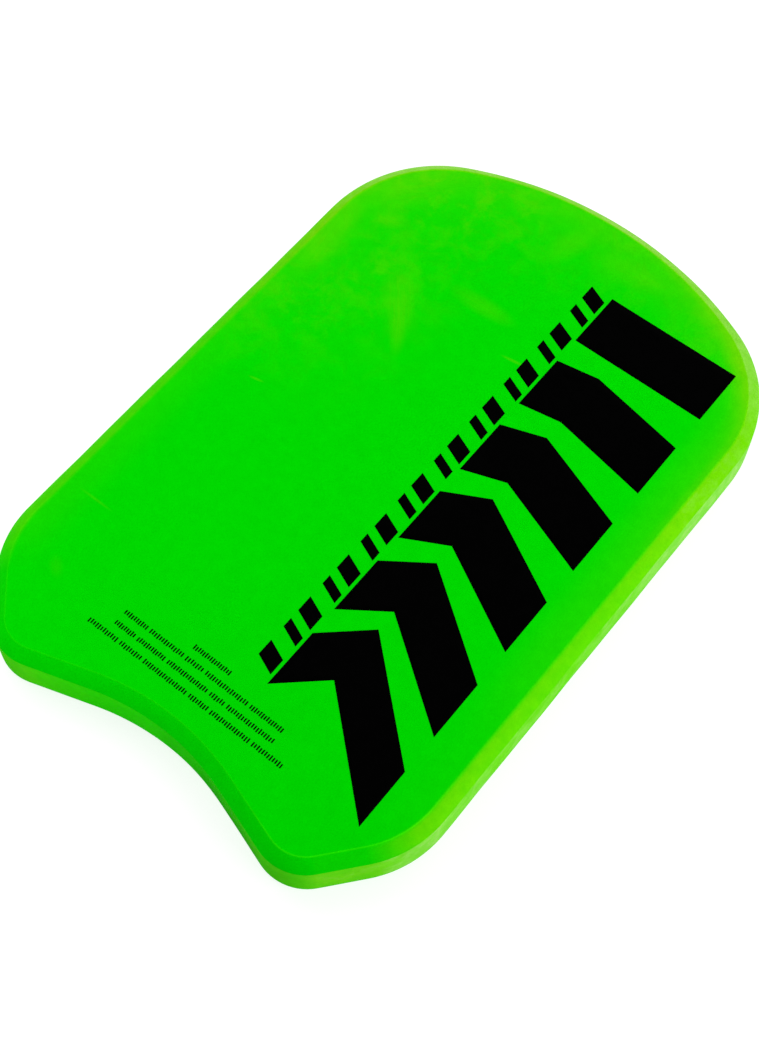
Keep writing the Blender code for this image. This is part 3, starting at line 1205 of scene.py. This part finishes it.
class KICKBOARD_OT_stage(bpy.types.Operator):
    """Lay the floor, hang the lights and set up the camera"""

    bl_idname = "kickboard.stage"
    bl_label = "Stage"

    def execute(self, context):
        stage = context.scene.kickboard_stage
        floor_corners = np.array([[-1, -1, 0], [1, -1, 0], [1, 1, 0], [-1, 1, 0]]) * FLOOR_REACH
        floor_corners[:, 2] += BOTTOM_LOW.z - FLOOR_GAP
        mesh = mesh_from("studio_floor", floor_corners, np.array([[0, 1, 2, 3]]))
        mesh.materials.append(shared_material("Studio floor", floor_material))
        floor = bpy.data.objects.new("studio_floor", mesh)
        context.scene.collection.objects.link(floor)

        context.scene.world = studio_sky(stage)
        for softbox in SOFTBOXES:
            context.scene.collection.objects.link(hung_softbox(stage, *softbox))

        back = Vector(
            (
                math.sin(stage.azimuth) * math.cos(stage.elevation),
                -math.cos(stage.azimuth) * math.cos(stage.elevation),
                math.sin(stage.elevation),
            )
        )
        level = Vector((math.cos(stage.azimuth), math.sin(stage.azimuth), 0.0))
        upright = back.cross(level)
        right = level * math.cos(stage.roll) + upright * math.sin(stage.roll)
        up = back.cross(right)
        camera = bpy.data.cameras.new("Camera")
        camera.lens = stage.focal_length
        camera.clip_start, camera.clip_end = 0.05, 20.0
        camera_object = bpy.data.objects.new("Camera", camera)
        turn = Matrix((right, up, back)).transposed().to_4x4()
        turn.translation = Vector(stage.aim) + back * stage.distance
        camera_object.matrix_world = turn
        context.scene.collection.objects.link(camera_object)
        context.scene.camera = camera_object
        context.scene.view_settings.view_transform = "Standard"
        return {"FINISHED"}


class KICKBOARD_PT_panel(bpy.types.Panel):
    """Lists the board's pieces and its stage"""

    bl_idname = "KICKBOARD_PT_panel"
    bl_label = "Kickboard"
    bl_space_type = "VIEW_3D"
    bl_region_type = "UI"
    bl_category = "Kickboard"

    def draw(self, context):
        for operator in OPERATORS:
            self.layout.operator(operator.bl_idname)
        for group in (
            context.scene.kickboard_sizes,
            context.scene.kickboard_colours,
            context.scene.kickboard_stage,
        ):
            box = self.layout.box()
            for name in group.bl_rna.properties.keys():
                if name not in ("rna_type", "name"):
                    box.prop(group, name)


OPERATORS = (
    KICKBOARD_OT_deck_sheet,
    KICKBOARD_OT_core_slab,
    KICKBOARD_OT_bottom_sheet,
    KICKBOARD_OT_bold_print,
    KICKBOARD_OT_tick_row,
    KICKBOARD_OT_small_print,
    KICKBOARD_OT_stage,
)
CLASSES = (KickboardSizes, KickboardColours, KickboardStage, *OPERATORS, KICKBOARD_PT_panel)


def register():
    """Registers the classes and hangs the settings on the scene."""
    for made in CLASSES:
        bpy.utils.register_class(made)
    bpy.types.Scene.kickboard_sizes = bpy.props.PointerProperty(type=KickboardSizes)
    bpy.types.Scene.kickboard_colours = bpy.props.PointerProperty(type=KickboardColours)
    bpy.types.Scene.kickboard_stage = bpy.props.PointerProperty(type=KickboardStage)


def unregister():
    """Takes the settings off the scene and the classes out of Blender."""
    del bpy.types.Scene.kickboard_stage
    del bpy.types.Scene.kickboard_colours
    del bpy.types.Scene.kickboard_sizes
    for made in reversed(CLASSES):
        bpy.utils.unregister_class(made)


def main():
    """Makes every piece and the stage."""
    register()
    bpy.ops.kickboard.deck_sheet()
    bpy.ops.kickboard.core_slab()
    bpy.ops.kickboard.bottom_sheet()
    bpy.ops.kickboard.bold_print()
    bpy.ops.kickboard.tick_row()
    bpy.ops.kickboard.small_print()
    bpy.ops.kickboard.stage()


if __name__ == "__main__":
    main()
